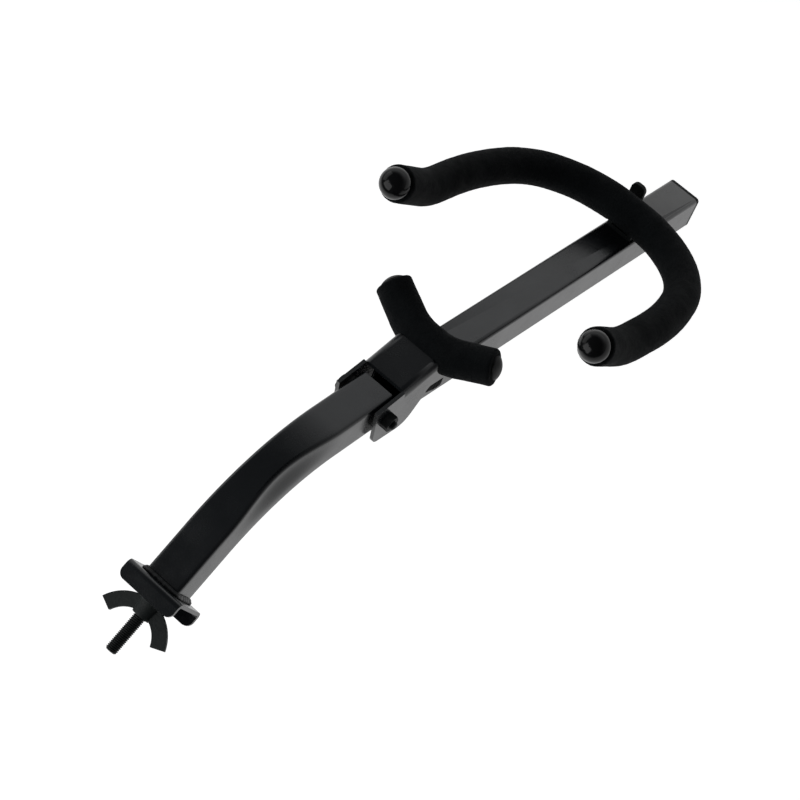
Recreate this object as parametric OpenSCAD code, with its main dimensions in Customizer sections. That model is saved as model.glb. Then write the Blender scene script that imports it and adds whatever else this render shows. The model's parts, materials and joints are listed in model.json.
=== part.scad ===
// Folding wall hanger for a guitar: a bent square-tube arm with a channel foot and a wing-nut stud,
// hinged to a straight arm that carries a wide padded yoke and a short padded rest bar.
// Axes: the foot seats at the origin, +X runs along the stud away from the wall, +Z is up.

/* [Square tube] */
// Outside width and height of both square tubes
tube_size = 25; // [20:0.5:32]
// Wall thickness of the square tubes
tube_wall = 1.6; // [1.2:0.1:2.4]
// Outside corner radius of the square tubes
tube_corner = 2.6; // [2:0.1:4]

/* [Lower arm] */
// Straight length between the foot and the bend
foot_run = 37; // [25:1:80]
// Centre-line radius of the bend
bend_radius = 138; // [90:1:220]
// Angle of the bend
bend_angle = 40; // [20:1:60]
// Straight length from the bend to the hinge axis
hinge_run = 40; // [30:1:90]
// Length of lower tube beyond the hinge axis
hinge_overhang = 7; // [5:0.5:8]

/* [Foot channel and stud] */
// Width of the channel across the arm
channel_width = 42; // [36:1:60]
// Outside height of the channel
channel_height = 40; // [36:1:56]
// Depth of the channel from the back of its web to the free edges
channel_depth = 12; // [8:0.5:20]
// Sheet thickness of the channel
channel_sheet = 2.5; // [2:0.1:3.5]
// Radius of the rounded free corners of the channel flanges
channel_corner = 5; // [2:0.5:7]
// Diameter of the stud
stud_d = 8; // [6:1:8]
// Length of stud that stands out of the channel web
stud_reach = 47; // [42:1:70]

/* [Wing nut] */
// Distance of the washer face from the channel web
nut_standoff = 8; // [7:0.5:12]
// Outside diameter of the hub at its base
hub_base_d = 14; // [13:0.5:16]
// Length of the hub
hub_length = 11; // [9:0.5:14]
// Mean radius of the crescent formed by the two wings
wing_radius = 23; // [21:0.5:24]
// Angle of the crescent from its middle to each tip
wing_angle = 67; // [50:1:72]
// Width of the wings in the plane of the crescent
wing_width = 9.2; // [7:0.2:9.6]
// Thickness of the wings
wing_thickness = 3.2; // [2.4:0.2:4]

/* [Hinge] */
// Drop of the straight arm below the line of the hinge run, at rest
rest_droop = 3.5; // [0:0.5:8]
// Diameter of the hinge bolt
bolt_d = 6; // [5:1:8]
// Thickness of the friction washers between the ears and the tube
friction_gap = 2; // [1:0.1:2.6]
// Sheet thickness of the hinge bracket
bracket_sheet = 2.5; // [2:0.1:3.5]
// Outside radius of the folded edges of the bracket
bracket_fold = 5; // [3.5:0.5:6]
// Slope of the bracket web against the straight arm
bracket_pitch = 16; // [12:0.5:18]
// Reach of the cheeks behind the hinge axis, at their upper rear corner
ear_reach = 13.5; // [11:0.5:16]
// Depth of the cheeks below the hinge axis
ear_drop = 18.7; // [16:0.1:21]
// Distance from the hinge axis to the front of the deep part of the cheeks
neck_x = 36; // [32:0.5:37]
// Distance of the straight arm's tube end from the hinge axis
tube_setback = 19; // [17.5:0.5:24]
// Height of the hinge axis above the centre line of the straight arm
hinge_lift = 2.5; // [1:0.5:4]

/* [Straight arm] */
// Distance from the hinge axis to the outer face of the end plug
arm_length = 343; // [280:1:420]
// Thickness of the end plug flange
plug_flange = 3; // [2:0.5:5]
// Depth of the end plug inside the tube
plug_depth = 14; // [8:1:24]

/* [Padded yoke] */
// Diameter of the steel rods
rod_d = 8; // [6:1:10]
// Outside diameter of the foam sleeve on the yoke
foam_d = 24; // [20:0.5:28]
// Distance from the middle of the yoke to the far end of the straight tube
yoke_setback = 75; // [45:1:100]
// Gap between the foam and the tube under it
foam_lift = 0.5; // [0.4:0.1:2]
// Upward tilt of the yoke plane towards the hinge
yoke_tilt = 9.5; // [5:0.5:14]
// Straight half-length across the arm
yoke_flat = 6; // [4:1:14]
// Radius of the main bend of the yoke
yoke_r1 = 70.5; // [55:0.5:90]
// Angle of the main bend of the yoke
yoke_a1 = 74; // [60:1:80]
// Radius of the gentle second bend
yoke_r2 = 200; // [120:5:300]
// Straight length of each prong after the second bend
yoke_run = 18; // [5:1:50]
// Radius of the upturned ends
yoke_r3 = 69; // [50:1:90]
// Angle of the upturned ends
yoke_a3 = 20.5; // [10:0.5:35]
// Straight length of foam beyond the upturned bend
yoke_tip = 34.5; // [15:0.5:50]

/* [Rest bar] */
// Outside diameter of the foam sleeve on the rest bar
rest_foam_d = 23; // [20:0.5:26]
// Distance from the hinge axis to the middle of the rest bar
rest_x = 51; // [50:0.5:62]
// Lean of the ends of the rest bar away from the hinge
rest_lean = 38; // [20:1:45]
// Radius of each of the two bends beside the middle
rest_radius = 42; // [34:1:60]
// Angle of each bend
rest_angle = 26; // [16:1:28]
// Straight length of foam beyond each bend
rest_run = 23; // [14:1:30]

/* [End caps] */
// Diameter of the domed end caps
cap_d = 20.6; // [17:0.2:23]
// Length of the straight collar of each cap
cap_collar = 2; // [1:0.5:5]
// Depth of the rod inside each cap
cap_grip = 8; // [4:0.5:9]
// Diameter of the low caps on the rest bar
rest_cap_d = 15; // [13:0.5:19]
// Height of the dome of the low caps
rest_cap_rise = 2.6; // [2:0.2:4]

/* [Hidden] */
$fn = 72;
CUT = 1;
RUN = 0.05;
JOINT = 0.04;
ARC_FN = 72;
BAR_FN = 36;
yoke_x = arm_length - yoke_setback;

half = tube_size / 2;
tube_inner = tube_size - 2 * tube_wall;
tube_inner_corner = tube_corner - tube_wall;
tube_start = channel_sheet;
bend_x = tube_start + foot_run;
bend_end_x = bend_x + bend_radius * sin(bend_angle);
bend_end_z = -bend_radius * (1 - cos(bend_angle));
hinge_x = bend_end_x + hinge_run * cos(bend_angle);
hinge_z = bend_end_z - hinge_run * sin(bend_angle);
arm_pitch = bend_angle + rest_droop;

stud_r = stud_d / 2;
bolt_r = bolt_d / 2;
sleeve_wall = 1.6;
sleeve_bore_r = bolt_r + RUN;
sleeve_r = sleeve_bore_r + sleeve_wall;
ear_in = half + friction_gap;
ear_out = ear_in + bracket_sheet;
friction_washer_r = 9;

nut_af = bolt_d * 10 / 6;
nut_height = bolt_d * 5 / 6;
head_height = bolt_d * 4 / 6;
bolt_tail = 2;

axis_z = -hinge_lift;
top_z = axis_z + half;

stud_head_af = stud_d * 13 / 8;
stud_head_height = stud_d * 5.3 / 8;
washer_thick = 1.6;
washer_r = stud_d;
washer_x = -nut_standoff;
hub_x = washer_x - washer_thick;
hub_taper = 2;
wing_rise = 27.4;

web_rear_x = 11;
web_rear_z = 17;
slope = tan(bracket_pitch);
boss_r = 8;
ear_top_z = 11.6;
ear_lean = 14.7;
heel_r = 7;
toe_r = 14;
toe_slope = 60;
neck_rise = 3.6;
neck_round = 2.6;
cheek_edge_z = 6.6;
cheek_front = 7;
weld_lap = 2.5;
weld_rise = 0.6;
weld_rear_drop = 2.5;
weld_front_drop = 6;

yoke_z = top_z + foam_lift + foam_d / 2;
rest_z = top_z + foam_lift + rest_foam_d / 2;
yoke_a2 = 90 - yoke_a1;
rod_r = rod_d / 2;
rest_flat = 3;
rest_cap_collar = 1.4;
rest_cap_grip = 2.4;
rest_gap = 0.4;
web_front_x = rest_x - rest_foam_d / 2 - rest_gap;
// bend of the rest bar where it passes through a cheek
pass_angle = asin(((ear_in + ear_out) / 2 - rest_flat) / rest_radius);
pass_rise = rest_radius * (1 - cos(pass_angle));
boss_x = rest_x + pass_rise * sin(rest_lean);
boss_z = rest_z + pass_rise * cos(rest_lean);
saddle_length = 16;
saddle_width = 20;
saddle_wall = 3;
tab_y = 4;
tab_width = 10.5;
tab_height = 24;
tab_thick = 3;
tab_x = foam_d / 2 + 3.5;
tab_corner = 4;
bead = 2.4;

// ---- profiles -------------------------------------------------------------

// rounded square, centred
module soft_square(size, corner) {
  square([size - 2 * corner, size], center = true);
  square([size, size - 2 * corner], center = true);
  for (x = [-1, 1]) {
    for (y = [-1, 1]) {
      translate([x * (size / 2 - corner), y * (size / 2 - corner)]) circle(r = corner);
    }
  }
}

// wall section of the square tube, thickened by a margin on both sides
module tube_section(margin = 0) {
  difference() {
    soft_square(tube_size + 2 * margin, tube_corner + margin);
    soft_square(tube_inner - 2 * margin, tube_inner_corner);
  }
}

// hexagon of a given size across its flats, extruded
module hexagon_prism(across_flats, height) {
  cylinder(d = across_flats / cos(30), h = height, $fn = 6);
}

// ---- placing --------------------------------------------------------------

// frame of the straight arm: hinge axis at its origin, +X along the arm
module on_arm() {
  translate([hinge_x, 0, hinge_z]) rotate([0, arm_pitch, 0]) children();
}

// frame of the hinge run: hinge axis at its origin, +X along the hinge run
module on_hinge_run() {
  translate([hinge_x, 0, hinge_z]) rotate([0, bend_angle, 0]) children();
}

// straight piece of round bar along +Z, with the rest of the path on its end
module straight_step(radius, length) {
  cylinder(r = radius, h = length, $fn = BAR_FN);
  translate([0, 0, length]) children();
}

// bent piece of round bar turning towards +X, with the rest of the path on its end
module bend_step(radius, turn, angle) {
  translate([turn, 0, 0]) {
    rotate([90, 0, 180]) rotate_extrude(angle = angle, $fn = ARC_FN)
      translate([turn, 0]) circle(r = radius, $fn = BAR_FN);
    rotate([0, angle, 0]) translate([-turn, 0, 0]) {
      sphere(r = radius + JOINT, $fn = BAR_FN);
      children();
    }
  }
}

// ---- yoke and rest bar paths ------------------------------------------------

// half of the yoke path, with children at its free end
module yoke_half(radius, tip) {
  translate([yoke_x, 0, yoke_z]) rotate([0, yoke_tilt, 0]) rotate([-90, 0, 0]) rotate([0, 0, 180])
    straight_step(radius, yoke_flat)
      bend_step(radius, yoke_r1, yoke_a1)
        bend_step(radius, yoke_r2, yoke_a2)
          straight_step(radius, yoke_run)
            rotate([0, 0, 90])
              bend_step(radius, yoke_r3, yoke_a3)
                straight_step(radius, tip)
                  children();
}

// whole yoke path
module yoke_path(radius, tip) {
  yoke_half(radius, tip);
  mirror([0, 1, 0]) yoke_half(radius, tip);
}

// frame at the middle of the rest bar, +Z along the bar and +X towards the inside of its bends
module on_rest() {
  translate([rest_x, 0, rest_z]) rotate([0, rest_lean, 0]) rotate([-90, 0, 0]) rotate([0, 0, -90]) children();
}

// half of the rest bar path, with children at its free end
module rest_half(radius, run) {
  on_rest()
    straight_step(radius, rest_flat)
      bend_step(radius, rest_radius, rest_angle)
        straight_step(radius, run)
          children();
}

// whole rest bar path
module rest_path(radius, run) {
  rest_half(radius, run);
  mirror([0, 1, 0]) rest_half(radius, run);
}

// cap with a collar and a dome, open end down, without its socket
module dome_cap(diameter, collar, rise) {
  dome_r = (diameter * diameter / 4 + rise * rise) / (2 * rise);
  intersection() {
    translate([0, 0, collar + rise - dome_r]) sphere(r = dome_r);
    cylinder(d = diameter, h = collar + rise + CUT);
  }
}

// ---- lower arm ----------------------------------------------------------------

module lower_arm_tube() {
  color([0.1, 0.1, 0.11]) difference() {
    union() {
      translate([tube_start, 0, 0]) rotate([0, 90, 0]) linear_extrude(foot_run) tube_section();
      translate([bend_x, 0, -bend_radius]) rotate([-90, -90, 0])
        rotate_extrude(angle = bend_angle, $fn = ARC_FN) translate([bend_radius, 0]) tube_section();
      on_hinge_run() translate([-hinge_run, 0, 0]) rotate([0, 90, 0]) {
        linear_extrude(hinge_run + hinge_overhang) tube_section();
        linear_extrude(1, center = true) tube_section(JOINT);
      }
    }
    on_hinge_run() rotate([90, 0, 0]) cylinder(r = sleeve_r, h = tube_size + 2 * CUT, center = true);
  }
}

// plan of one channel flange: straight at the web, rounded at the free edge
module flange_plan() {
  reach = channel_depth - channel_corner;
  translate([-reach, -channel_width / 2]) square([reach, channel_width]);
  translate([-channel_depth, -channel_width / 2 + channel_corner])
    square([channel_depth, channel_width - 2 * channel_corner]);
  for (side = [-1, 1]) {
    translate([-reach, side * (channel_width / 2 - channel_corner)]) circle(r = channel_corner);
  }
}

// side section of the channel with folded corners
module channel_section() {
  inner = channel_sheet * 0.6;
  outer = inner + channel_sheet;
  difference() {
    union() {
      translate([-channel_depth, -channel_height / 2]) square([channel_depth - outer, channel_height]);
      translate([-channel_depth, -channel_height / 2 + outer]) square([channel_depth, channel_height - 2 * outer]);
      for (side = [-1, 1]) {
        translate([-outer, side * (channel_height / 2 - outer)]) circle(r = outer);
      }
    }
    translate([-channel_depth - CUT, -channel_height / 2 + channel_sheet])
      square([channel_depth + CUT - outer, channel_height - 2 * channel_sheet]);
    translate([-channel_depth - CUT, -channel_height / 2 + outer])
      square([channel_depth + CUT - channel_sheet, channel_height - 2 * outer]);
    for (side = [-1, 1]) {
      translate([-outer, side * (channel_height / 2 - outer)]) circle(r = inner);
    }
  }
}

module end_channel() {
  color([0.1, 0.1, 0.11]) translate([channel_sheet, 0, 0]) difference() {
    intersection() {
      rotate([90, 0, 0]) linear_extrude(channel_width, center = true) channel_section();
      linear_extrude(channel_height, center = true) flange_plan();
    }
    rotate([0, 90, 0]) cylinder(r = stud_r, h = 3 * channel_sheet, center = true);
  }
}

module channel_weld() {
  color([0.14, 0.14, 0.15]) translate([tube_start, 0, 0]) rotate([0, 90, 0]) difference() {
    union() {
      linear_extrude(bead / 2) soft_square(tube_size + 2 * bead, tube_corner + bead);
      linear_extrude(bead) soft_square(tube_size + bead, tube_corner + bead / 2);
    }
    translate([0, 0, -CUT]) linear_extrude(bead + 2 * CUT) soft_square(tube_size, tube_corner);
  }
}

module mount_stud() {
  chamfer = 0.8;
  color([0.5, 0.5, 0.52]) rotate([0, -90, 0]) {
    translate([0, 0, -channel_sheet]) cylinder(r = stud_r, h = channel_sheet + stud_reach - chamfer);
    translate([0, 0, stud_reach - chamfer]) cylinder(r1 = stud_r, r2 = stud_r - chamfer, h = chamfer);
    translate([0, 0, -channel_sheet - stud_head_height]) hexagon_prism(stud_head_af, stud_head_height);
  }
}

module stud_washer() {
  color([0.55, 0.55, 0.57]) translate([washer_x, 0, 0]) rotate([0, -90, 0]) difference() {
    cylinder(r = washer_r, h = washer_thick);
    translate([0, 0, -CUT]) cylinder(r = stud_r + RUN, h = washer_thick + 2 * CUT);
  }
}

// outline of the crescent of the two wings: X across the stud, Y along it, away from the wall
module wing_outline() {
  outer = wing_radius + wing_width / 2;
  inner = wing_radius - wing_width / 2;
  reach = 2 * outer;
  difference() {
    translate([0, wing_rise]) difference() {
      circle(r = outer);
      circle(r = inner);
      polygon([
        [0, 0],
        [reach * sin(wing_angle), -reach * cos(wing_angle)],
        [reach, reach],
        [-reach, reach],
        [-reach * sin(wing_angle), -reach * cos(wing_angle)]
      ]);
    }
    translate([-outer, -outer]) square([2 * outer, outer]);
  }
}

module wing_nut() {
  color([0.12, 0.12, 0.13]) translate([hub_x, 0, 0]) rotate([0, -90, 0]) difference() {
    union() {
      cylinder(d1 = hub_base_d, d2 = hub_base_d - hub_taper, h = hub_length);
      rotate([0, 0, 90]) rotate([90, 0, 0]) linear_extrude(wing_thickness, center = true) wing_outline();
    }
    translate([0, 0, -CUT]) cylinder(r = stud_r + RUN, h = hub_length + 2 * CUT);
  }
}

// ---- hinge ----------------------------------------------------------------------

module hinge_sleeve() {
  color([0.6, 0.6, 0.62]) on_hinge_run() rotate([90, 0, 0]) difference() {
    cylinder(r = sleeve_r, h = tube_size, center = true);
    cylinder(r = sleeve_bore_r, h = tube_size + 2 * CUT, center = true);
  }
}

// flat washer in the gap beside the tube, on the +Y side
module friction_washer() {
  translate([0, half, 0]) rotate([-90, 0, 0]) difference() {
    cylinder(r = friction_washer_r, h = friction_gap);
    translate([0, 0, -CUT]) cylinder(r = sleeve_bore_r, h = friction_gap + 2 * CUT);
  }
}

module friction_washer_left() {
  color([0.75, 0.75, 0.72]) on_arm() friction_washer();
}

module friction_washer_right() {
  color([0.75, 0.75, 0.72]) on_arm() mirror([0, 1, 0]) friction_washer();
}

module hinge_bolt() {
  shank = 2 * ear_out + nut_height + bolt_tail;
  color([0.16, 0.16, 0.17]) on_arm() translate([0, ear_out, 0]) rotate([90, 0, 0]) {
    cylinder(r = bolt_r, h = shank);
    translate([0, 0, -head_height]) intersection() {
      hexagon_prism(nut_af, head_height);
      cylinder(r1 = nut_af / 2, r2 = nut_af / 2 + 2 * head_height, h = head_height);
    }
  }
}

module hinge_nut() {
  color([0.16, 0.16, 0.17]) on_arm() translate([0, -ear_out, 0]) rotate([90, 0, 0]) difference() {
    intersection() {
      hexagon_prism(nut_af, nut_height);
      cylinder(r1 = nut_af / 2 + 2 * nut_height, r2 = nut_af / 2, h = nut_height);
    }
    translate([0, 0, -CUT]) cylinder(r = bolt_r, h = nut_height + 2 * CUT);
  }
}

// height of the bracket web's top face at a distance along the arm
function web_z(x) = web_rear_z + (x - web_rear_x) * slope;

// distance of the cheeks' slanting rear edge along the arm, at a height
function rear_x(z) = -ear_reach + (ear_top_z - z) * tan(ear_lean);

// side outline of the bracket: deep cheek with a slanting rear edge and round lower corners,
// slim neck, and a front boss inside the rest bar's foam
module bracket_outline() {
  heel = [rear_x(heel_r - ear_drop) + heel_r / cos(ear_lean), heel_r - ear_drop];
  toe = [neck_x - (toe_r + (ear_drop - toe_r) * cos(toe_slope)) / sin(toe_slope), toe_r - ear_drop];
  translate(heel) circle(r = heel_r);
  translate(toe) circle(r = toe_r);
  translate([boss_x, boss_z]) circle(r = boss_r);
  polygon([
    [rear_x(ear_top_z), ear_top_z],
    heel - heel_r * [cos(ear_lean), sin(ear_lean)],
    [heel.x, -ear_drop],
    [toe.x, -ear_drop],
    toe + toe_r * [sin(toe_slope), -cos(toe_slope)],
    [neck_x, 0],
    [neck_x + 0.3 * neck_round, neck_rise],
    [neck_x + 1.3 * neck_round, cheek_edge_z],
    [rest_x + cheek_front, cheek_edge_z],
    [boss_x + boss_r, boss_z],
    [boss_x, boss_z + boss_r],
    [boss_x - boss_r, boss_z + boss_r * 0.4],
    [web_front_x, web_z(web_front_x)],
    [web_rear_x, web_rear_z]
  ]);
}

// outline of the hollow between the cheeks, open below and behind, closed above by the web
module bracket_hollow() {
  drop = bracket_sheet / cos(bracket_pitch);
  polygon([
    [-40, -40],
    [90, -40],
    [90, 50],
    [web_front_x, 50],
    [web_front_x, web_z(web_front_x) - drop],
    [web_rear_x, web_z(web_rear_x) - drop],
    [web_rear_x, 50],
    [-40, 50]
  ]);
}

// round-over cutter for the folded top edge on the +Y side
module fold_cutter() {
  length = web_front_x - web_rear_x + 6;
  rotate([0, -bracket_pitch, 0]) translate([-CUT, ear_out - bracket_fold, -bracket_fold]) difference() {
    cube([length, 2 * bracket_fold, 2 * bracket_fold]);
    translate([-CUT, 0, 0]) rotate([0, 90, 0]) cylinder(r = bracket_fold, h = length + 2 * CUT);
  }
}

module hinge_bracket() {
  color([0.11, 0.11, 0.12]) on_arm() difference() {
    rotate([90, 0, 0]) linear_extrude(2 * ear_out, center = true) bracket_outline();
    rotate([90, 0, 0]) linear_extrude(2 * ear_in, center = true) bracket_hollow();
    translate([web_rear_x, 0, web_rear_z]) {
      fold_cutter();
      mirror([0, 1, 0]) fold_cutter();
    }
    rotate([90, 0, 0]) cylinder(r = bolt_r, h = 3 * ear_out, center = true);
    rest_path(rod_r, rest_run);
  }
}

// wide weld between the side of the tube and the lower edge of the +Y cheek
module cheek_weld() {
  end_x = rest_x + cheek_front;
  translate([0, half, 0]) rotate([90, 0, 0]) mirror([0, 0, 1]) linear_extrude(friction_gap) polygon([
    [neck_x - weld_lap, 0],
    [neck_x + weld_lap, -weld_rear_drop],
    [end_x - 2 * weld_lap, -weld_front_drop],
    [end_x, -weld_front_drop],
    [end_x, cheek_edge_z + weld_rise],
    [neck_x + weld_lap / 2, cheek_edge_z + weld_rise]
  ]);
}

module bracket_weld_left() {
  color([0.13, 0.13, 0.14]) on_arm() cheek_weld();
}

module bracket_weld_right() {
  color([0.13, 0.13, 0.14]) on_arm() mirror([0, 1, 0]) cheek_weld();
}

// ---- straight arm ----------------------------------------------------------------

module upper_arm_tube() {
  color([0.1, 0.1, 0.11]) on_arm() translate([tube_setback, 0, axis_z]) rotate([0, 90, 0])
    linear_extrude(arm_length - plug_flange - tube_setback) tube_section();
}

module upper_end_plug() {
  lip = 0.8;
  rib_gap = 0.1;
  color([0.06, 0.06, 0.06]) on_arm() translate([arm_length, 0, axis_z]) rotate([0, -90, 0]) {
    linear_extrude(lip) soft_square(tube_size - 2 * lip, tube_corner);
    translate([0, 0, lip]) linear_extrude(plug_flange - lip) soft_square(tube_size, tube_corner);
    difference() {
      linear_extrude(plug_flange + plug_depth) soft_square(tube_inner - 2 * rib_gap, tube_inner_corner);
      translate([0, 0, plug_flange]) linear_extrude(plug_depth + CUT) soft_square(tube_inner - 5, 1);
    }
  }
}

// ---- yoke ------------------------------------------------------------------------

module yoke_saddle() {
  color([0.1, 0.1, 0.11]) on_arm() {
    difference() {
      translate([yoke_x - saddle_length / 2, -saddle_width / 2, top_z])
        cube([saddle_length, saddle_width, yoke_z - top_z]);
      translate([yoke_x - saddle_length / 2 - CUT, -saddle_width / 2 + saddle_wall, top_z + saddle_wall])
        cube([saddle_length + 2 * CUT, saddle_width - 2 * saddle_wall, yoke_z]);
      yoke_path(rod_r, CUT);
    }
    translate([yoke_x, tab_y, top_z]) cube([tab_x + tab_thick, saddle_width / 2 - tab_y, saddle_wall]);
    translate([yoke_x + tab_x, tab_y, top_z]) rotate([90, 0, 90]) linear_extrude(tab_thick) {
      square([tab_width, tab_height - tab_corner]);
      translate([tab_corner, 0]) square([tab_width - 2 * tab_corner, tab_height]);
      for (y = [tab_corner, tab_width - tab_corner]) {
        translate([y, tab_height - tab_corner]) circle(r = tab_corner);
      }
    }
  }
}

module yoke_rod() {
  color([0.12, 0.12, 0.13]) on_arm() yoke_path(rod_r, yoke_tip + cap_grip);
}

module yoke_foam() {
  gap = 0.3;
  color([0.05, 0.05, 0.055]) on_arm() difference() {
    yoke_path(foam_d / 2, yoke_tip);
    yoke_path(rod_r, yoke_tip + CUT);
    translate([yoke_x - saddle_length / 2 - gap, -saddle_width / 2 - gap, top_z])
      cube([saddle_length + 2 * gap, saddle_width + 2 * gap, yoke_z - top_z + gap]);
  }
}

// cap of the +Y prong, with its socket for the rod
module yoke_cap() {
  yoke_tip_place() difference() {
    union() {
      cylinder(d = cap_d, h = cap_collar);
      translate([0, 0, cap_collar]) dome_cap(cap_d, 0, cap_d / 2);
    }
    translate([0, 0, -CUT]) cylinder(r = rod_r, h = cap_grip + CUT);
  }
}

module yoke_cap_left() {
  color([0.02, 0.02, 0.02]) on_arm() yoke_cap();
}

module yoke_cap_right() {
  color([0.02, 0.02, 0.02]) on_arm() mirror([0, 1, 0]) yoke_cap();
}

// frame of the free end of the +Y prong, +Z along the rod
module yoke_tip_place() {
  translate([yoke_x, 0, yoke_z]) rotate([0, yoke_tilt, 0]) rotate([-90, 0, 0]) rotate([0, 0, 180])
    translate([0, 0, yoke_flat])
      turn_frame(yoke_r1, yoke_a1)
        turn_frame(yoke_r2, yoke_a2)
          translate([0, 0, yoke_run])
            rotate([0, 0, 90])
              turn_frame(yoke_r3, yoke_a3)
                translate([0, 0, yoke_tip])
                  children();
}

// frame carried around a bend towards +X
module turn_frame(turn, angle) {
  translate([turn, 0, 0]) rotate([0, angle, 0]) translate([-turn, 0, 0]) children();
}

// ---- rest bar ----------------------------------------------------------------------

module rest_rod() {
  color([0.12, 0.12, 0.13]) on_arm() rest_path(rod_r, rest_run + rest_cap_grip);
}

module rest_foam() {
  gap = 0.3;
  color([0.05, 0.05, 0.055]) on_arm() difference() {
    rest_path(rest_foam_d / 2, rest_run);
    rest_path(rod_r, rest_run + CUT);
    for (side = [-1, 1]) {
      translate([rest_x - rest_foam_d, side * (ear_in + ear_out) / 2 - bracket_sheet / 2 - gap, top_z - rest_foam_d])
        cube([boss_x - rest_x + boss_r + rest_foam_d + gap, bracket_sheet + 2 * gap,
              boss_z - top_z + rest_foam_d + boss_r + gap]);
    }
  }
}

// frame of the +Y end of the rest bar, +Z along the rod
module rest_tip_place() {
  on_rest() translate([0, 0, rest_flat]) turn_frame(rest_radius, rest_angle) translate([0, 0, rest_run]) children();
}

// low cap of the +Y end of the rest bar, with its socket for the rod
module rest_cap() {
  rest_tip_place() difference() {
    dome_cap(rest_cap_d, rest_cap_collar, rest_cap_rise);
    translate([0, 0, -CUT]) cylinder(r = rod_r, h = rest_cap_grip + CUT);
  }
}

module rest_cap_left() {
  color([0.02, 0.02, 0.02]) on_arm() rest_cap();
}

module rest_cap_right() {
  color([0.02, 0.02, 0.02]) on_arm() mirror([0, 1, 0]) rest_cap();
}

// ---- build -------------------------------------------------------------------------

lower_arm_tube();
end_channel();
channel_weld();
mount_stud();
stud_washer();
wing_nut();
hinge_sleeve();
friction_washer_left();
friction_washer_right();
hinge_bolt();
hinge_nut();
hinge_bracket();
bracket_weld_left();
bracket_weld_right();
upper_arm_tube();
upper_end_plug();
yoke_saddle();
yoke_rod();
yoke_foam();
yoke_cap_left();
yoke_cap_right();
rest_rod();
rest_foam();
rest_cap_left();
rest_cap_right();
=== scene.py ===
"""Looks of the folding guitar hanger arm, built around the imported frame. Metres throughout."""

import json
import math

import bmesh
import bpy
from mathutils import Euler, Matrix, Vector, noise


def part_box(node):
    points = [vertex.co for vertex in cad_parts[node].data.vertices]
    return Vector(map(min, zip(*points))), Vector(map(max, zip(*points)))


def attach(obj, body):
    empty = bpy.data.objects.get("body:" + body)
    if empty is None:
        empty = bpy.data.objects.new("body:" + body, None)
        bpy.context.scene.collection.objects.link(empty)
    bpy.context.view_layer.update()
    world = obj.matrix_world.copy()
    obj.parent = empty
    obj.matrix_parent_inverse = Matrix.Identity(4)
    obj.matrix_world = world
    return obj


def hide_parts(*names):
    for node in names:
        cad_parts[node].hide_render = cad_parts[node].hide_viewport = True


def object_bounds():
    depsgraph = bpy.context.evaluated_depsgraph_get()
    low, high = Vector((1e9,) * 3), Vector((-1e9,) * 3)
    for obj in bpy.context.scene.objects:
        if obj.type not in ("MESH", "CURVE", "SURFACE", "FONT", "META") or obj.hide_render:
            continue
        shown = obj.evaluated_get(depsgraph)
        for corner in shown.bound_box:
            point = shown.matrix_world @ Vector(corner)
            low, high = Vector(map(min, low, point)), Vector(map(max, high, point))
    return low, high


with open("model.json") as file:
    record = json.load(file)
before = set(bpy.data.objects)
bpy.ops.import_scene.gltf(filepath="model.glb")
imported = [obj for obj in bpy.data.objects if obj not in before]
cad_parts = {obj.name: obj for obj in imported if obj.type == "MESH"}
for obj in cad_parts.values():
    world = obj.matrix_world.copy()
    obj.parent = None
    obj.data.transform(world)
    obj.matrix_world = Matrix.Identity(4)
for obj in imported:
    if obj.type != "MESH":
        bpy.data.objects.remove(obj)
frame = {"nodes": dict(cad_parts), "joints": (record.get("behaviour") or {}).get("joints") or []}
CAD_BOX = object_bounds()
NODES = frame["nodes"]

LOWER = "lower_arm"
ARM = "straight_arm"

# camera, fitted to the straight edges of the arm
CAMERA_PLACE = (0.1343, -0.5016, 1.4996)
CAMERA_TURN = (12.518, 12.168, -48.064)
CAMERA_LENS = 123.07
SENSOR = 36.0

# studio
FLOOR_DROP = 0.45
FLOOR_SIZE = 14.0
FLOOR_GLOW = 0.70
FLOOR_MIRROR = 0.58
SKY_BRIGHT = 1.0
SKY_DIM = 0.06
SKY_TOP = 0.60
SKY_FAR_RAMP = (-0.3, 0.9)
SKY_NUT_RAMP = (-0.75, 0.0)
SKY_NUT_SHARE = 0.35
SKY_TINT = (0.97, 0.985, 1.0, 1.0)
FLOOR_TONE = (0.82, 0.82, 0.82, 1.0)
WHITE = (1.0, 1.0, 1.0, 1.0)
KEY_PLACE = (-1.8, 0.9, 1.7)
KEY_SIZE = (3.0, 2.4)
KEY_POWER = 46.0
FILL_PLACE = (0.4, 2.4, 0.9)
FILL_SIZE = (2.6, 1.6)
FILL_POWER = 12.0

# frame of the straight arm
FOLD = next(j for j in frame["joints"] if j["name"] == "fold")
HINGE = Vector(FOLD["pos_m"])
ARM_PITCH = math.radians(43.5)
ARM_FRAME = Matrix.Translation(HINGE) @ Matrix.Rotation(ARM_PITCH, 4, "Y")

# threads
STUD_R = 0.004
STUD_PITCH = 0.00125
STUD_DEPTH = 0.00068
BOLT_R = 0.003
BOLT_PITCH = 0.001
BOLT_DEPTH = 0.00054
THREAD_CREST = 0.12
THREAD_FLANK = 0.70
POINT_SHARE = 0.27

# bend and section of the lower tube, and the crease that bending left in its near upper corner
BEND_CENTRE = Vector((0.0395, 0.0, -0.138))
BEND_RADIUS = 0.138
BEND_ANGLE = math.radians(40.0)
BEND_STEPS = 40
TUBE_START = 0.0025
TUBE_OVERHANG = 0.007
TUBE_HALF = 0.0125
TUBE_WALL = 0.0016
TUBE_CORNER = 0.0026
TUBE_CORNER_STEPS = 7
TUBE_FLAT_STEPS = 8
CREASE_DEPTH = 0.0041
CREASE_WALL = -0.008
CREASE_FOOT = -0.006
CREASE_RISE = 0.0155
CREASE_MIDDLE = math.radians(22.0)
CREASE_SPAN = math.radians(19.0)

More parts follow.
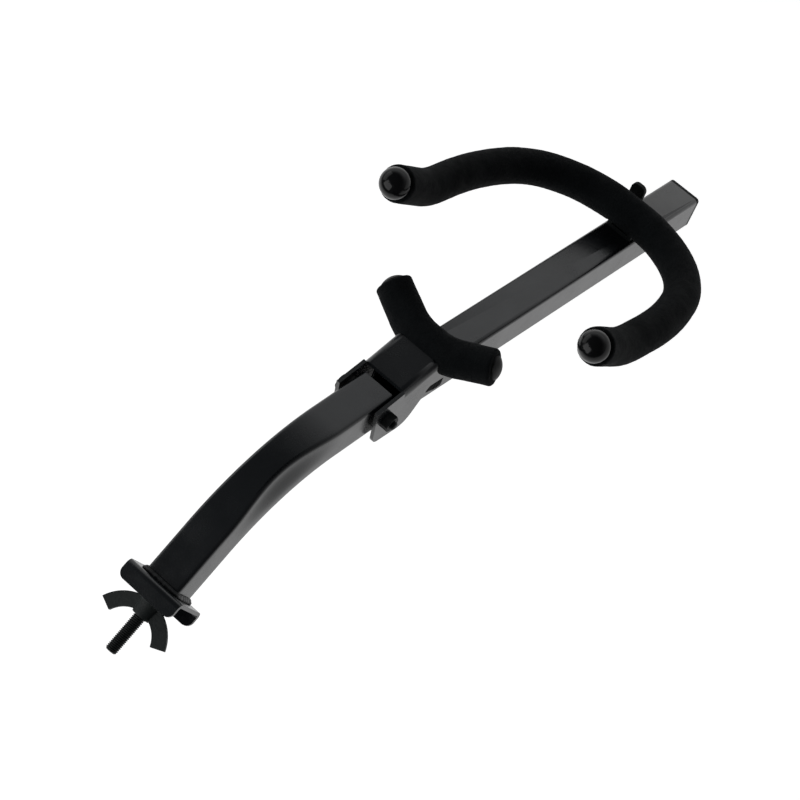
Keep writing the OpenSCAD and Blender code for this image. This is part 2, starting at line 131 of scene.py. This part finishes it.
# rest bar, in the frame of the straight arm
REST_PLACE = (0.051, 0.0, 0.022)
REST_LEAN = math.radians(38.0)
REST_FLAT = 0.003
REST_BEND_R = 0.042
REST_BEND = math.radians(26.0)
REST_RUN = 0.023
REST_FOAM_R = 0.0115
REST_BORE_R = 0.0041
REST_SWELL = 0.0007

REST_STEPS = 240
REST_ROUND = 0.0018
REST_AROUND = 96
REST_SEED = 7.7

# foam skin
FOAM_VOXEL = 0.0011
FOAM_RELAX_STEPS = 5
YOKE_SEED = 3.1
LUMP_SCALE = 55.0
LUMP_DEPTH = 0.00022
GRAIN_SCALE = 420.0
GRAIN_DEPTH = 0.00010
SKIN_RISE = 0.00012

# weld beads
WELD_VOXEL = 0.0004
WELD_RELAX_STEPS = 18
WELD_RIPPLE = 0.00009
WELD_LUMP = 0.00030
WELD_LUMP_SCALE = 190.0
WELD_RISE = 0.00045
FOOT_RIPPLE_RADIUS = 0.016
FOOT_RIPPLE_PITCH = 0.0042
CHEEK_RIPPLE_PITCH = 0.0034

# edges
SHARP_ANGLE = math.radians(35.0)
EDGE_ANGLE = math.radians(38.0)
WELD_DISTANCE = 1e-6
TUBE_EDGE = 0.00035


# ---------------------------------------------------------------- node helpers


class Nodes:
    """A material or world node tree with short calls for adding and joining nodes."""

    def __init__(self, tree):
        self.tree = tree
        tree.nodes.clear()

    def add(self, kind, **inputs):
        node = self.tree.nodes.new(kind)
        for name, value in inputs.items():
            node.inputs[name.replace("_", " ")].default_value = value
        return node

    def join(self, source, output, target, socket):
        self.tree.links.new(source.outputs[output], target.inputs[socket])


def object_space(net):
    return net.add("ShaderNodeTexCoord")


def noise_node(net, space, scale, detail=3.0, rough=0.5):
    node = net.add("ShaderNodeTexNoise")
    node.inputs["Scale"].default_value = scale
    node.inputs["Detail"].default_value = detail
    node.inputs["Roughness"].default_value = rough
    net.join(space, "Object", node, "Vector")
    return node


def remap(net, source, output, low, high, low_in=0.35, high_in=0.65):
    node = net.add("ShaderNodeMapRange")
    node.inputs["From Min"].default_value = low_in
    node.inputs["From Max"].default_value = high_in
    node.inputs["To Min"].default_value = low
    node.inputs["To Max"].default_value = high
    net.join(source, output, node, "Value")
    return node


def graded(net, source, output, low_in, high_in, low, high):
    ramp = net.add("ShaderNodeMapRange")
    ramp.interpolation_type = "SMOOTHSTEP"
    ramp.inputs["From Min"].default_value = low_in
    ramp.inputs["From Max"].default_value = high_in
    ramp.inputs["To Min"].default_value = low
    ramp.inputs["To Max"].default_value = high
    net.join(source, output, ramp, "Value")
    return ramp


def maths(net, operation, first, second):
    node = net.add("ShaderNodeMath")
    node.operation = operation
    for k, source in enumerate((first, second)):
        if isinstance(source, float):
            node.inputs[k].default_value = source
        else:
            net.join(source[0], source[1], node, k)
    return node


def mix_color_sockets(node):
    """The colour sockets of a Mix node set to RGBA."""
    found = [s for s in node.inputs if s.type == "RGBA"]
    return found[0], found[1]


def add_bump(net, height_node, output, strength, distance, before=None):
    node = net.add("ShaderNodeBump")
    node.inputs["Strength"].default_value = strength
    node.inputs["Distance"].default_value = distance
    net.join(height_node, output, node, "Height")
    if before:
        net.join(before, "Normal", node, "Normal")
    return node


def surface(name, dark, light, patch, rough, bumps, specular=0.5, sheen=0.0, coat=0.0, metal=0.0):
    """A procedural material: two tones in soft patches, uneven roughness and layers of bump.

    bumps is a list of (kind, scale, strength, distance), from coarse to fine.
    """
    material = bpy.data.materials.new(name)
    material.use_nodes = True
    net = Nodes(material.node_tree)
    out = net.add("ShaderNodeOutputMaterial")
    shader = net.add("ShaderNodeBsdfPrincipled")
    net.join(shader, "BSDF", out, "Surface")
    shader.inputs["Metallic"].default_value = metal
    shader.inputs["Specular IOR Level"].default_value = specular
    if sheen:
        shader.inputs["Sheen Weight"].default_value = sheen
        shader.inputs["Sheen Roughness"].default_value = 0.5
    if coat:
        shader.inputs["Coat Weight"].default_value = coat
        shader.inputs["Coat Roughness"].default_value = 0.06
    space = object_space(net)
    patches = noise_node(net, space, patch, 4.0, 0.6)
    factor = remap(net, patches, "Fac", 0.0, 1.0)
    tone = net.add("ShaderNodeMix")
    tone.data_type = "RGBA"
    first, second = mix_color_sockets(tone)
    first.default_value = (*dark, 1.0)
    second.default_value = (*light, 1.0)
    net.join(factor, "Result", tone, "Factor")
    color_out = [s for s in tone.outputs if s.type == "RGBA"][0]
    net.tree.links.new(color_out, shader.inputs["Base Color"])
    uneven = noise_node(net, space, patch * 2.3, 5.0, 0.65)
    roughness = remap(net, uneven, "Fac", rough[0], rough[1])
    net.join(roughness, "Result", shader, "Roughness")
    before = None
    for kind, scale, strength, distance in bumps:
        if kind == "cells":
            height = net.add("ShaderNodeTexVoronoi")
            height.inputs["Scale"].default_value = scale
            net.join(space, "Object", height, "Vector")
            before = add_bump(net, height, "Distance", strength, distance, before)
        else:
            height = noise_node(net, space, scale, 3.0, 0.55)
            before = add_bump(net, height, "Fac", strength, distance, before)
    if before:
        net.join(before, "Normal", shader, "Normal")
    return material


# ---------------------------------------------------------------- materials

PAINT = surface(
    "satin_black_paint", (0.0078, 0.0094, 0.0110), (0.0105, 0.0122, 0.0140), 22.0, (0.20, 0.28),
    [("noise", 900.0, 0.10, 0.0004), ("noise", 2600.0, 0.06, 0.0002)],
)
WELD = surface(
    "painted_weld", (0.0035, 0.0045, 0.0052), (0.0070, 0.0080, 0.0090), 160.0, (0.38, 0.52),
    [("noise", 420.0, 0.30, 0.0006), ("noise", 1800.0, 0.2, 0.0003)], specular=0.25,
)
# painted shade: a darker, duller, less glossy copy of the weld paint, so the narrow gap between
# the bracket cheeks and the tube reads as shadow
WELD_PAINTED_SHADE = surface(
    "weld_painted_shade", (0.0014, 0.0018, 0.0022), (0.0030, 0.0036, 0.0042), 160.0, (0.60, 0.78),
    [("noise", 420.0, 0.30, 0.0006), ("noise", 1800.0, 0.2, 0.0003)], specular=0.04,
)
BLACK_OXIDE = surface(
    "black_fastener", (0.0035, 0.0045, 0.0048), (0.0070, 0.0085, 0.0088), 90.0, (0.46, 0.60),
    [("noise", 1500.0, 0.2, 0.0003)], specular=0.12,
)
STUD_BLACK = surface(
    "black_stud", (0.0050, 0.0068, 0.0068), (0.0095, 0.0120, 0.0120), 120.0, (0.44, 0.58),
    [("noise", 1500.0, 0.2, 0.0003)], specular=0.28,
)
CAST_BLACK = surface(
    "cast_black_nut", (0.0070, 0.0100, 0.0100), (0.0120, 0.0160, 0.0155), 70.0, (0.52, 0.66),
    [("noise", 600.0, 0.3, 0.0005), ("noise", 2200.0, 0.3, 0.0003)], specular=0.32,
)
STEEL = surface(
    "zinc_steel", (0.30, 0.30, 0.31), (0.42, 0.42, 0.43), 60.0, (0.28, 0.42),
    [("noise", 1200.0, 0.15, 0.0002)], metal=1.0,
)
NYLON = surface(
    "black_nylon", (0.012, 0.012, 0.012), (0.018, 0.018, 0.018), 80.0, (0.5, 0.6),
    [("noise", 1800.0, 0.2, 0.0002)],
)
FOAM = surface(
    "closed_cell_foam", (0.0020, 0.0029, 0.0035), (0.0045, 0.0059, 0.0068), 45.0, (0.86, 0.98),
    [
        ("noise", 260.0, 0.35, 0.0010),
        ("cells", 1500.0, 0.55, 0.0006),
        ("noise", 4200.0, 0.5, 0.0003),
    ],
    specular=0.14,
)
CAP = surface(
    "gloss_black_cap", (0.0030, 0.0032, 0.0036), (0.0052, 0.0055, 0.0060), 30.0, (0.13, 0.19),
    [("noise", 120.0, 0.04, 0.0006), ("noise", 2400.0, 0.03, 0.0001)], specular=0.22,
)
REST_CAP = surface(
    "dull_black_cap", (0.0050, 0.0056, 0.0060), (0.0085, 0.0092, 0.0098), 60.0, (0.48, 0.62),
    [("noise", 500.0, 0.15, 0.0004), ("noise", 2400.0, 0.1, 0.0002)], specular=0.35,
)
PLUG = surface(
    "moulded_black_plug", (0.0080, 0.0092, 0.0105), (0.0120, 0.0132, 0.0145), 60.0, (0.40, 0.52),
    [("noise", 1600.0, 0.2, 0.0002)], specular=0.12,
)

FINISH = {
    "lower_arm_tube": PAINT,
    "end_channel": PAINT,
    "channel_weld": WELD,
    "mount_stud": STUD_BLACK,
    "stud_washer": BLACK_OXIDE,
    "wing_nut": CAST_BLACK,
    "hinge_sleeve": STEEL,
    "friction_washer_left": NYLON,
    "friction_washer_right": NYLON,
    "hinge_bolt": BLACK_OXIDE,
    "hinge_nut": BLACK_OXIDE,
    "hinge_bracket": PAINT,
    # the bracket welds wear the painted-shade copy of the weld paint
    "bracket_weld_left": WELD_PAINTED_SHADE,
    "bracket_weld_right": WELD_PAINTED_SHADE,
    "upper_arm_tube": PAINT,
    "upper_end_plug": PLUG,
    "yoke_saddle": BLACK_OXIDE,
    "yoke_rod": STEEL,
    "yoke_foam": FOAM,
    "yoke_cap_left": CAP,
    "yoke_cap_right": CAP,
    "rest_rod": STEEL,
    "rest_foam": FOAM,
    "rest_cap_left": REST_CAP,
    "rest_cap_right": REST_CAP,
}


def dress(obj, material):
    obj.data.materials.clear()
    obj.data.materials.append(material)
    for polygon in obj.data.polygons:
        polygon.material_index = 0


for node_name, node_object in NODES.items():
    if node_object.material_slots:
        for slot in node_object.material_slots:
            slot.material = FINISH[node_name]
    else:
        node_object.data.materials.append(FINISH[node_name])


# ---------------------------------------------------------------- mesh helpers


def link(name, mesh, material, body):
    obj = bpy.data.objects.new(name, mesh)
    bpy.context.scene.collection.objects.link(obj)
    dress(obj, material)
    obj.data.polygons.foreach_set("use_smooth", [True] * len(obj.data.polygons))
    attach(obj, body)
    return obj


def baked(obj):
    """The object's mesh with its modifiers applied, as new mesh data."""
    graph = bpy.context.evaluated_depsgraph_get()
    graph.update()
    return bpy.data.meshes.new_from_object(obj.evaluated_get(graph))


def node_copy(node):
    """A welded scratch copy of a CAD node's mesh."""
    mesh = NODES[node].data.copy()
    work = bmesh.new()
    work.from_mesh(mesh)
    bmesh.ops.remove_doubles(work, verts=work.verts, dist=1e-6)
    work.to_mesh(mesh)
    work.free()
    obj = bpy.data.objects.new(node + "_scratch", mesh)
    bpy.context.scene.collection.objects.link(obj)
    return obj


def cut_away(obj, cutter):
    """The cutter's solid taken out of the object, and the cutter removed."""
    cut = obj.modifiers.new("cut", "BOOLEAN")
    cut.operation = "DIFFERENCE"
    cut.solver = "EXACT"
    cut.object = cutter
    obj.data = baked(obj)
    obj.modifiers.clear()
    bpy.data.objects.remove(cutter)


def even_skin(node, voxel, relax_steps):
    """The CAD node's skin remeshed to even faces, with its corners relaxed."""
    scratch = node_copy(node)
    remesh = scratch.modifiers.new("even", "REMESH")
    remesh.mode = "VOXEL"
    remesh.voxel_size = voxel
    relax = scratch.modifiers.new("relax", "SMOOTH")
    relax.factor = 0.5
    relax.iterations = relax_steps
    mesh = baked(scratch)
    bpy.data.objects.remove(scratch)
    return mesh


def uneven(mesh, seed):
    """Shallow lumps and a fine grain over a foam skin."""
    shift = Vector((seed, seed * 0.7, -seed * 0.4))
    normals = [v.normal.copy() for v in mesh.vertices]
    for vertex, normal in zip(mesh.vertices, normals):
        spot = vertex.co.copy()
        lumps = noise.noise(spot * LUMP_SCALE + shift) * LUMP_DEPTH
        grain = noise.noise(spot * GRAIN_SCALE + shift) * GRAIN_DEPTH
        vertex.co = spot + normal * (lumps + grain + SKIN_RISE)


def soft_foam(node, body, seed):
    """The foam sleeve: the CAD sleeve remeshed, its corners relaxed and its skin uneven."""
    mesh = even_skin(node, FOAM_VOXEL, FOAM_RELAX_STEPS)
    uneven(mesh, seed)
    obj = link(node + "_sleeve", mesh, FOAM, body)
    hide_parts(node)


def thread_mesh(name, start, end, major, depth, pitch, around=36, per_turn=10):
    """A helical 60 degree thread along +s from start to end, with a point at its far end."""
    length = end - start
    rows = max(2, int(length / pitch * per_turn))
    point = major * POINT_SHARE
    work = bmesh.new()
    rings = []
    for i in range(rows + 1):
        s = start + length * i / rows
        ring = []
        for k in range(around):
            turn = k / around
            phase = (s / pitch - turn) % 1.0
            tooth = abs(2.0 * phase - 1.0)
            profile = min(1.0, max(0.0, (tooth - THREAD_CREST) / THREAD_FLANK))
            fade = min(1.0, max(0.0, (end - s) / point))
            outer = min(major, major - point * (1.0 - fade))
            radius = min(outer, major - depth * (1.0 - profile))
            angle = 2.0 * math.pi * turn
            ring.append(work.verts.new((s, radius * math.cos(angle), radius * math.sin(angle))))
        rings.append(ring)
    for low, high in zip(rings, rings[1:]):
        for k in range(around):
            j = (k + 1) % around
            work.faces.new((low[k], high[k], high[j], low[j]))
    work.faces.new(rings[0])
    work.faces.new(list(reversed(rings[-1])))
    bmesh.ops.recalc_face_normals(work, faces=work.faces)
    mesh = bpy.data.meshes.new(name)
    work.to_mesh(mesh)
    work.free()
    return mesh


# ---------------------------------------------------------------- pieces


def trimmed(node, spot, normal, extra):
    """The CAD node cut off at a plane, with another mesh set on its cut end."""
    scratch = node_copy(node)
    work = bmesh.new()
    work.from_mesh(scratch.data)
    geometry = work.verts[:] + work.edges[:] + work.faces[:]
    cut = bmesh.ops.bisect_plane(
        work, geom=geometry, dist=1e-7, plane_co=spot, plane_no=normal, clear_outer=True
    )
    rim = [item for item in cut["geom_cut"] if isinstance(item, bmesh.types.BMEdge)]
    bmesh.ops.contextual_create(work, geom=rim)
    work.from_mesh(extra)
    mesh = bpy.data.meshes.new(node + "_threaded")
    work.to_mesh(mesh)
    work.free()
    bpy.data.objects.remove(scratch)
    return mesh


def stud_with_thread():
    length = -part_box("mount_stud")[0][0]
    thread = thread_mesh("stud_thread", 0.0, length, STUD_R, STUD_DEPTH, STUD_PITCH, 48, 12)
    thread.transform(Matrix.Rotation(math.pi, 4, "Z"))
    mesh = trimmed("mount_stud", (-0.0002, 0.0, 0.0), (-1.0, 0.0, 0.0), thread)
    obj = link("mount_stud_threaded", mesh, STUD_BLACK, LOWER)
    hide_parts("mount_stud")
    sharpen(obj)


def bolt_with_thread():
    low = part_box("hinge_bolt")[0]
    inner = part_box("hinge_nut")[0][1] + 0.001
    thread = thread_mesh("bolt_thread", -inner - 0.0002, -low[1], BOLT_R, BOLT_DEPTH, BOLT_PITCH)
    to_hinge = Matrix.Translation((HINGE.x, 0.0, HINGE.z))
    thread.transform(to_hinge @ Matrix.Rotation(-math.pi / 2, 4, "Z"))
    mesh = trimmed("hinge_bolt", (0.0, inner, 0.0), (0.0, -1.0, 0.0), thread)
    obj = link("hinge_bolt_threaded", mesh, BLACK_OXIDE, ARM)
    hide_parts("hinge_bolt")
    sharpen(obj)


def sharpen(obj, angle=SHARP_ANGLE):
    """Smooth shading that breaks at edges above an angle."""
    obj.data.set_sharp_from_angle(angle=angle)


def swept(name, stations, around):
    """A closed skin through a loop of round stations, each (point, direction, radius)."""
    work = bmesh.new()
    side = Vector((1.0, 0.0, 0.0))
    rings = []
    for point, along, radius in stations:
        first = (side - along * side.dot(along)).normalized()
        second = along.cross(first)
        ring = []
        for k in range(around):
            turn = 2.0 * math.pi * k / around
            outward = first * math.cos(turn) + second * math.sin(turn)
            ring.append(work.verts.new(point + outward * radius))
        rings.append(ring)
    for low, high in zip(rings, rings[1:] + rings[:1]):
        for k in range(around):
            j = (k + 1) % around
            work.faces.new((low[k], low[j], high[j], high[k]))
    bmesh.ops.recalc_face_normals(work, faces=work.faces)
    mesh = bpy.data.meshes.new(name)
    work.to_mesh(mesh)
    work.free()
    return mesh


def rest_points(steps):
    """Middle line of the rest bar's sleeve, from its -Y end to its +Y end."""
    bend_length = REST_BEND_R * REST_BEND
    whole = REST_FLAT + bend_length + REST_RUN
    place = ARM_FRAME @ Matrix.Translation(REST_PLACE) @ Matrix.Rotation(REST_LEAN, 4, "Y")
    points = []
    for i in range(steps + 1):
        way = whole * (2.0 * i / steps - 1.0)
        run = abs(way)
        turn = min(max(run - REST_FLAT, 0.0) / REST_BEND_R, REST_BEND)
        rest = max(run - REST_FLAT - bend_length, 0.0)
        across = min(run, REST_FLAT) + REST_BEND_R * math.sin(turn) + rest * math.cos(turn)
        rise = REST_BEND_R * (1.0 - math.cos(turn)) + rest * math.sin(turn)
        points.append(place @ Vector((0.0, math.copysign(across, way), rise)))
    return points


def rest_foam_sleeve():
    """The rest bar's sleeve, slit only where the cheeks of the bracket pass into it."""
    steps = REST_STEPS
    line = rest_points(steps)
    step = (line[1] - line[0]).length
    skin = []
    for i, point in enumerate(line):
        along = (line[min(i + 1, steps)] - line[max(i - 1, 0)]).normalized()
        short = max(0.0, REST_ROUND - min(i, steps - i) * step)
        swell = REST_SWELL * math.cos(math.pi * (i / steps - 0.5)) ** 2
        rounded = math.sqrt(max(0.0, REST_ROUND ** 2 - short ** 2))
        radius = REST_FOAM_R + swell - REST_ROUND + rounded
        skin.append((point, along, radius))
    bore = [(point, along, REST_BORE_R) for point, along, radius in reversed(skin)]
    mesh = swept("rest_foam_skin", skin + bore, REST_AROUND)
    uneven(mesh, REST_SEED)
    obj = link("rest_foam_sleeve", mesh, FOAM, ARM)
    cut_away(obj, node_copy("hinge_bracket"))
    sharpen(obj)
    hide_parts("rest_foam")


def weld_bead(node, body, way_of, pitch, seed):
    """A laid bead: the CAD band rounded, with ripples along its length."""
    mesh = even_skin(node, WELD_VOXEL, WELD_RELAX_STEPS)
    shift = Vector((seed, -seed, seed * 0.3))
    normals = [v.normal.copy() for v in mesh.vertices]
    for vertex, normal in zip(mesh.vertices, normals):
        spot = vertex.co.copy()
        ripple = math.cos(2.0 * math.pi * way_of(spot) / pitch)
        lump = noise.noise(spot * WELD_LUMP_SCALE + shift)
        vertex.co = spot + normal * (WELD_RIPPLE * ripple + WELD_LUMP * lump + WELD_RISE)
    obj = link(node + "_bead", mesh, FINISH[node], body)
    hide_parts(node)


def around_foot(spot):
    return math.atan2(spot.z, spot.y) * FOOT_RIPPLE_RADIUS


def along_arm(spot):
    return (ARM_FRAME.inverted() @ spot).x


def tube_ring(half, corner):
    """Points (across, height) around the tube's section, counted the same for both skins."""
    core = half - corner
    points = []
    for quarter in range(4):
        first = quarter * math.pi / 2.0
        middle = first + math.pi / 4.0
        centre = (math.copysign(core, math.cos(middle)), math.copysign(core, math.sin(middle)))
        for step in range(TUBE_CORNER_STEPS + 1):
            turn = first + math.pi / 2.0 * step / TUBE_CORNER_STEPS
            across = centre[0] + corner * math.cos(turn)
            height = centre[1] + corner * math.sin(turn)
            points.append((across, height))
        for step in range(1, TUBE_FLAT_STEPS):
            share = 1.0 - 2.0 * step / TUBE_FLAT_STEPS
            over = first + math.pi / 2.0
            points.append(
                (
                    half * math.cos(over) + core * share * math.cos(first),
                    half * math.sin(over) + core * share * math.sin(first),
                )
            )
    return points


def tube_stations():
    """Stations along the tube: (middle point, angle of the bend there)."""
    stations = [(Vector((TUBE_START, 0.0, 0.0)), 0.0)]
    for i in range(BEND_STEPS + 1):
        angle = BEND_ANGLE * i / BEND_STEPS
        outward = Vector((math.sin(angle), 0.0, math.cos(angle)))
        stations.append((BEND_CENTRE + outward * BEND_RADIUS, angle))
    ahead = Vector((math.cos(BEND_ANGLE), 0.0, -math.sin(BEND_ANGLE)))
    stations.append((HINGE + ahead * TUBE_OVERHANG, BEND_ANGLE))
    return stations


def drawn_in(across, height, angle):
    """How far the crease moves a point of the near wall towards the middle."""
    away = (angle - CREASE_MIDDLE) / CREASE_SPAN
    if abs(away) >= 1.0 or across > CREASE_WALL:
        return 0.0
    level = min(max((height - CREASE_FOOT) / CREASE_RISE, 0.0), 1.0)
    eased = level * level * (3.0 - 2.0 * level)
    return CREASE_DEPTH * eased * math.cos(away * math.pi / 2.0) ** 2


def creased_tube():
    """The lower tube with its near upper corner drawn in around the middle of the bend."""
    work = bmesh.new()
    skins = []
    for inset in (0.0, TUBE_WALL):
        half, corner = TUBE_HALF - inset, TUBE_CORNER - inset
        rings = []
        for middle, angle in tube_stations():
            outward = Vector((math.sin(angle), 0.0, math.cos(angle)))
            ring = []
            for across, height in tube_ring(half, corner):
                across += drawn_in(across, height, angle)
                ring.append(work.verts.new(middle + outward * height + Vector((0.0, across, 0.0))))
            rings.append(ring)
        for low, high in zip(rings, rings[1:]):
            for k in range(len(low)):
                j = (k + 1) % len(low)
                work.faces.new((low[k], low[j], high[j], high[k]))
        skins.append(rings)
    for end in (0, -1):
        outer, inner = skins[0][end], skins[1][end]
        for k in range(len(outer)):
            j = (k + 1) % len(outer)
            work.faces.new((outer[k], outer[j], inner[j], inner[k]))
    bmesh.ops.recalc_face_normals(work, faces=work.faces)
    mesh = bpy.data.meshes.new("lower_arm_tube_creased")
    work.to_mesh(mesh)
    work.free()
    obj = link("lower_arm_tube_creased", mesh, PAINT, LOWER)
    low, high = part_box("hinge_sleeve")
    bore = rod_mesh((high[0] - low[0]) / 2.0, TUBE_HALF * 1.4)
    bore.location = HINGE
    cut_away(obj, bore)
    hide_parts("lower_arm_tube")
    sharpen(obj)
    add_edges(obj, TUBE_EDGE)


def rod_mesh(radius, reach, around=40):
    """A scratch rod along y, for cutting a bore."""
    work = bmesh.new()
    rings = []
    for y in (-reach, reach):
        ring = []
        for k in range(around):
            turn = 2.0 * math.pi * k / around
            ring.append(work.verts.new((radius * math.cos(turn), y, radius * math.sin(turn))))
        rings.append(ring)
    for k in range(around):
        j = (k + 1) % around
        work.faces.new((rings[0][k], rings[0][j], rings[1][j], rings[1][k]))
    work.faces.new(rings[0])
    work.faces.new(rings[1])
    bmesh.ops.recalc_face_normals(work, faces=work.faces)
    mesh = bpy.data.meshes.new("bore")
    work.to_mesh(mesh)
    work.free()
    obj = bpy.data.objects.new("bore_scratch", mesh)
    bpy.context.scene.collection.objects.link(obj)
    return obj


def add_edges(obj, width):
    bevel = obj.modifiers.new("edges", "BEVEL")
    bevel.width = width
    bevel.segments = 2
    bevel.limit_method = "ANGLE"
    bevel.angle_limit = EDGE_ANGLE
    bevel.use_clamp_overlap = True


EDGE_SIZES = {
    "end_channel": 0.0004,
    "hinge_bracket": 0.0004,
    "upper_arm_tube": 0.00035,
    "upper_end_plug": 0.0003,
    "yoke_saddle": 0.0004,
    "wing_nut": 0.0005,
    "hinge_nut": 0.0002,
    "stud_washer": 0.0002,
}


def soften_edges():
    """Small round edges on the sheet, tube and cast pieces."""
    for name, width in EDGE_SIZES.items():
        node = NODES[name]
        weld = node.modifiers.new("weld", "WELD")
        weld.merge_threshold = WELD_DISTANCE
        add_edges(node, width)


soft_foam("yoke_foam", ARM, YOKE_SEED)
rest_foam_sleeve()
stud_with_thread()
bolt_with_thread()
weld_bead("channel_weld", LOWER, around_foot, FOOT_RIPPLE_PITCH, 1.7)
weld_bead("bracket_weld_left", ARM, along_arm, CHEEK_RIPPLE_PITCH, 2.9)
weld_bead("bracket_weld_right", ARM, along_arm, CHEEK_RIPPLE_PITCH, 5.3)
creased_tube()
soften_edges()


# ---------------------------------------------------------------- stage


def floor_material():
    """A pale floor that is white to the camera and to gloss, and keeps the shadow."""
    material = bpy.data.materials.new("white_floor")
    material.use_nodes = True
    net = Nodes(material.node_tree)
    out = net.add("ShaderNodeOutputMaterial")
    diffuse = net.add("ShaderNodeBsdfDiffuse")
    diffuse.inputs["Color"].default_value = FLOOR_TONE
    glow = net.add("ShaderNodeEmission")
    glow.inputs["Color"].default_value = WHITE
    path = net.add("ShaderNodeLightPath")
    straight = maths(net, "MAXIMUM", (path, "Is Camera Ray"), (path, "Is Transmission Ray"))
    seen = maths(net, "MULTIPLY", (straight, "Value"), FLOOR_GLOW)
    mirrored = maths(net, "MULTIPLY", (path, "Is Glossy Ray"), FLOOR_MIRROR)
    level = maths(net, "ADD", (seen, "Value"), (mirrored, "Value"))
    net.join(level, "Value", glow, "Strength")
    both = net.add("ShaderNodeAddShader")
    net.join(diffuse, "BSDF", both, 0)
    net.join(glow, "Emission", both, 1)
    net.join(both, "Shader", out, "Surface")
    return material


def make_floor():
    low, high = CAD_BOX
    mesh = bpy.data.meshes.new("floor")
    work = bmesh.new()
    bmesh.ops.create_grid(work, x_segments=4, y_segments=4, size=FLOOR_SIZE / 2)
    work.to_mesh(mesh)
    work.free()
    obj = bpy.data.objects.new("floor", mesh)
    bpy.context.scene.collection.objects.link(obj)
    obj.location = ((low[0] + high[0]) / 2, (low[1] + high[1]) / 2, low[2] - FLOOR_DROP)
    obj.data.materials.append(floor_material())


def make_world():
    """White to the camera; to everything else a pale horizon beyond the free end of the arm
    and a dim room overhead and on the side of the hinge nut."""
    world = bpy.data.worlds.new("studio")
    bpy.context.scene.world = world
    world.use_nodes = True
    net = Nodes(world.node_tree)
    out = net.add("ShaderNodeOutputWorld")
    space = net.add("ShaderNodeTexCoord")
    split = net.add("ShaderNodeSeparateXYZ")
    net.join(space, "Generated", split, "Vector")
    low_sky = graded(net, split, "Z", 0.0, SKY_TOP, 1.0, 0.0)
    far_side = graded(net, split, "X", *SKY_FAR_RAMP, 0.0, 1.0)
    nut_side = graded(net, split, "Y", *SKY_NUT_RAMP, SKY_NUT_SHARE, 1.0)
    both = maths(net, "MULTIPLY", (low_sky, "Result"), (far_side, "Result"))
    most = maths(net, "MULTIPLY", (both, "Value"), (nut_side, "Result"))
    scaled = maths(net, "MULTIPLY", (most, "Value"), SKY_BRIGHT)
    level = maths(net, "ADD", (scaled, "Value"), SKY_DIM)
    path = net.add("ShaderNodeLightPath")
    pick = net.add("ShaderNodeMix")
    pick.data_type = "FLOAT"
    floats = [s for s in pick.inputs if s.type == "VALUE"]
    net.tree.links.new(path.outputs["Is Camera Ray"], floats[0])
    net.tree.links.new(level.outputs["Value"], floats[1])
    floats[2].default_value = 1.0
    glow = net.add("ShaderNodeBackground")
    glow.inputs["Color"].default_value = SKY_TINT
    net.tree.links.new([s for s in pick.outputs if s.type == "VALUE"][0], glow.inputs["Strength"])
    net.join(glow, "Background", out, "Surface")


def softbox(name, place, target, size, power):
    data = bpy.data.lights.new(name, "AREA")
    data.shape = "RECTANGLE"
    data.size = size[0]
    data.size_y = size[1]
    data.energy = power
    obj = bpy.data.objects.new(name, data)
    bpy.context.scene.collection.objects.link(obj)
    obj.location = place
    aim = Vector(target) - Vector(place)
    obj.rotation_euler = aim.to_track_quat("-Z", "Y").to_euler()
    return obj


def make_camera():
    data = bpy.data.cameras.new("camera")
    data.lens = CAMERA_LENS
    data.sensor_width = SENSOR
    data.clip_end = 60.0
    obj = bpy.data.objects.new("camera", data)
    bpy.context.scene.collection.objects.link(obj)
    obj.location = CAMERA_PLACE
    obj.rotation_euler = Euler([math.radians(a) for a in CAMERA_TURN], "XYZ")
    bpy.context.scene.camera = obj


low_corner, high_corner = CAD_BOX
CENTRE = tuple((a + b) / 2 for a, b in zip(low_corner, high_corner))
make_floor()
make_world()
softbox("key", KEY_PLACE, CENTRE, KEY_SIZE, KEY_POWER)
softbox("fill", FILL_PLACE, CENTRE, FILL_SIZE, FILL_POWER)
make_camera()
bpy.context.scene.view_settings.view_transform = "Standard"
